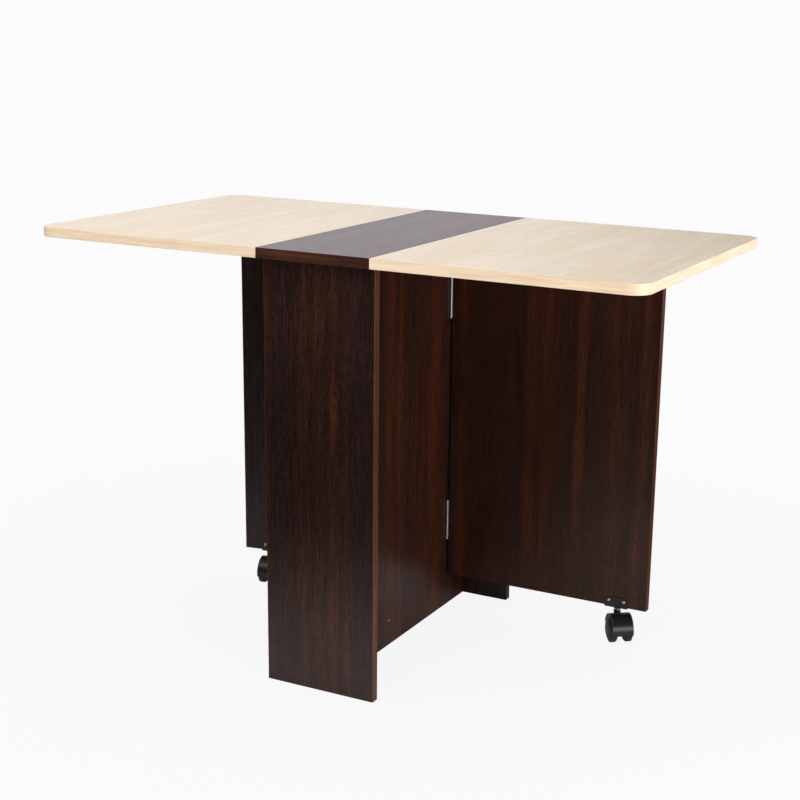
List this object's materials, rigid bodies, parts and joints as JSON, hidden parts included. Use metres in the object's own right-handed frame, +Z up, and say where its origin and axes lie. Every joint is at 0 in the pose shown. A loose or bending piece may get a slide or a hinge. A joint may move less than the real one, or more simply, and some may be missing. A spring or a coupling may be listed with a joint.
{
  "type": "butterfly folding table",
  "caption": "Folding table with a fixed middle strip on crossed panels and two drop leaves, each held up by a swinging gate on a twin-wheel caster.",
  "frame": {"origin": "on the floor, under the middle of the open top", "axes": "+X along the open table towards the right leaf, +Y to the rear end panel, +Z up"},
  "size_m": [1.104, 0.592, 0.75],
  "materials": {
    "dark_laminate": "dark wenge-look laminated chipboard, vertical grain, satin",
    "dark_edge_band": "red-brown wood-look edge band, satin",
    "pale_laminate": "pale maple-look laminated chipboard, fine straight grain, satin",
    "pale_edge_band": "maple-look edge band, satin",
    "hinge_steel": "bright zinc-plated sheet steel",
    "screw_steel": "bright zinc-plated screws",
    "caster_steel": "plain turned steel stem and axle",
    "zinc_fitting": "die-cast and turned cam fittings",
    "beech": "fluted beech dowels",
    "glide_plastic": "white nail-on glides",
    "black_plastic": "black moulded plastic, semi-gloss",
    "wheel_plastic": "black moulded wheels, semi-gloss"
  },
  "bodies": {
    "frame": {"center_top": "dark_laminate", "center_top_edge_bands": "dark_edge_band", "central_panel": "dark_laminate", "central_panel_screw": "screw_steel", "front_end_panel": "dark_laminate", "front_end_panel_edge_bands": "dark_edge_band", "gate_hinge_panel_screws": "screw_steel", "leaf_hinge_top_screws": "screw_steel", "left_gate_hinge_panel_flaps": "hinge_steel", "left_gate_hinge_pins": "hinge_steel", "left_leaf_hinge_pins": "hinge_steel", "left_leaf_hinge_top_flaps": "hinge_steel", "panel_cam_bolts": "zinc_fitting", "panel_cam_discs": "zinc_fitting", "panel_dowels": "beech", "rear_end_panel": "dark_laminate", "rear_end_panel_edge_bands": "dark_edge_band", "right_gate_hinge_panel_flaps": "hinge_steel", "right_gate_hinge_pins": "hinge_steel", "right_leaf_hinge_pins": "hinge_steel", "right_leaf_hinge_top_flaps": "hinge_steel", "top_cam_bolts": "zinc_fitting", "top_cam_discs": "zinc_fitting", "top_dowels": "beech"},
    "right_gate": {"right_caster_shoe": "black_plastic", "right_caster_shoe_screws": "screw_steel", "right_gate": "dark_laminate", "right_gate_edge_band": "dark_edge_band", "right_gate_glide": "glide_plastic", "right_gate_hinge_gate_flaps": "hinge_steel", "right_gate_hinge_gate_screws": "screw_steel"},
    "left_gate": {"left_caster_shoe": "black_plastic", "left_caster_shoe_screws": "screw_steel", "left_gate": "dark_laminate", "left_gate_edge_band": "dark_edge_band", "left_gate_glide": "glide_plastic", "left_gate_hinge_gate_flaps": "hinge_steel", "left_gate_hinge_gate_screws": "screw_steel"},
    "right_leaf": {"right_leaf": "pale_laminate", "right_leaf_edge_band": "pale_edge_band", "right_leaf_hinge_leaf_flaps": "hinge_steel", "right_leaf_hinge_leaf_screws": "screw_steel"},
    "left_leaf": {"left_leaf": "pale_laminate", "left_leaf_edge_band": "pale_edge_band", "left_leaf_hinge_leaf_flaps": "hinge_steel", "left_leaf_hinge_leaf_screws": "screw_steel"},
    "right_caster": {"right_caster_axle": "caster_steel", "right_caster_hood": "black_plastic", "right_caster_stem": "caster_steel"},
    "left_caster": {"left_caster_axle": "caster_steel", "left_caster_hood": "black_plastic", "left_caster_stem": "caster_steel"},
    "right_front_wheel": {"right_caster_front_wheel": "wheel_plastic"},
    "right_rear_wheel": {"right_caster_rear_wheel": "wheel_plastic"},
    "left_front_wheel": {"left_caster_front_wheel": "wheel_plastic"},
    "left_rear_wheel": {"left_caster_rear_wheel": "wheel_plastic"}
  },
  "joints": [
    {"name": "right_gate_fold", "type": "hinge", "parent": "frame", "child": "right_gate", "pos_m": [0.01, 0.18, 0.392], "axis": [0, 0, -1], "range_deg": [0, 90]},
    {"name": "right_leaf_lift", "type": "hinge", "parent": "frame", "child": "right_leaf", "pos_m": [0.1037, 0, 0.73005], "axis": [0, -1, 0], "range_deg": [0, 2]},
    {"name": "right_caster_swivel", "type": "hinge", "parent": "right_gate", "child": "right_caster", "pos_m": [0.36, 0.19, 0.06], "axis": [0, 0, 1], "range_deg": [0, 144]},
    {"name": "right_front_wheel_spin", "type": "hinge", "parent": "right_caster", "child": "right_front_wheel", "pos_m": [0.37083, 0.17563, 0.025], "axis": [0.7986, 0.6018, 0], "continuous": true},
    {"name": "right_rear_wheel_spin", "type": "hinge", "parent": "right_caster", "child": "right_rear_wheel", "pos_m": [0.37083, 0.17563, 0.025], "axis": [0.7986, 0.6018, 0], "continuous": true},
    {"name": "left_gate_fold", "type": "hinge", "parent": "frame", "child": "left_gate", "pos_m": [-0.01, 0.18, 0.392], "axis": [0, 0, 1], "range_deg": [-9, 81]},
    {"name": "left_leaf_lift", "type": "hinge", "parent": "frame", "child": "left_leaf", "pos_m": [-0.1037, 0, 0.73005], "axis": [0, 1, 0], "range_deg": [0, 2]},
    {"name": "left_caster_swivel", "type": "hinge", "parent": "left_gate", "child": "left_caster", "pos_m": [-0.35725, 0.13512, 0.06], "axis": [0, 0, 1], "range_deg": [-20, 177]},
    {"name": "left_front_wheel_spin", "type": "hinge", "parent": "left_caster", "child": "left_front_wheel", "pos_m": [-0.35321, 0.11759, 0.025], "axis": [0.9744, 0.225, 0], "continuous": true},
    {"name": "left_rear_wheel_spin", "type": "hinge", "parent": "left_caster", "child": "left_rear_wheel", "pos_m": [-0.35321, 0.11759, 0.025], "axis": [0.9744, 0.225, 0], "continuous": true}
  ],
  "couplings": [
    {"joint": "right_caster_swivel", "follows": "right_gate_fold", "ratio": 1.5889},
    {"joint": "left_caster_swivel", "follows": "left_gate_fold", "ratio": 2.1728}
  ]
}
